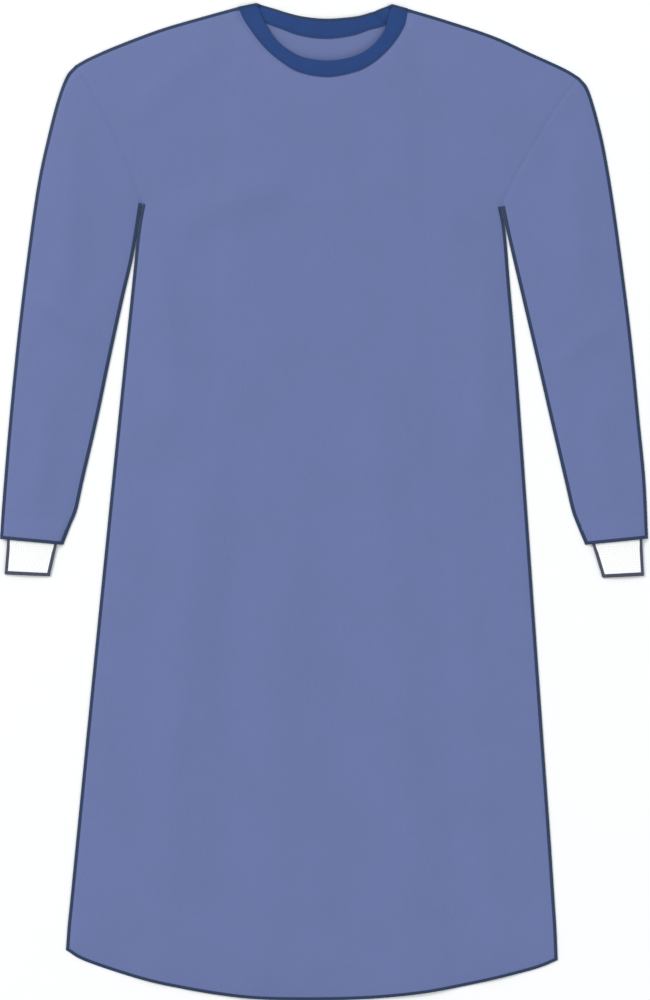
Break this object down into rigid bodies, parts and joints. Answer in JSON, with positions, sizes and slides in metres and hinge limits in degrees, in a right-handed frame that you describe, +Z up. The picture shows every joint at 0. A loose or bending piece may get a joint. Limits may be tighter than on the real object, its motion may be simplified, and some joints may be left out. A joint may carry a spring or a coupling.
{
  "type": "surgical gown",
  "caption": "Long-sleeved surgical gown that opens at the back, laid flat and face up, with a round neck band and knitted rib cuffs.",
  "frame": {"origin": "middle of the laid gown's bounding box, on the surface it lies on", "axes": "+Y from hem to neck, +X towards the wearer's left sleeve, +Z up out of the front of the gown"},
  "size_m": [0.8278, 1.2733, 0.0116],
  "materials": {
    "gown_cloth": "soft matt nonwoven, fine bond pattern",
    "neck_binding": "matt woven strip",
    "knit_cuff": "white rib knit",
    "hook_tape": "woven fastening tape"
  },
  "bodies": {
    "root": {"front": "gown_cloth", "back_right": "gown_cloth", "back_left": "gown_cloth", "sleeve_right_front": "gown_cloth", "sleeve_right_back": "gown_cloth", "sleeve_left_front": "gown_cloth", "sleeve_left_back": "gown_cloth", "cuff_right": "knit_cuff", "cuff_left": "knit_cuff", "neck_band": "neck_binding", "neck_tab": "hook_tape"}
  },
  "joints": []
}
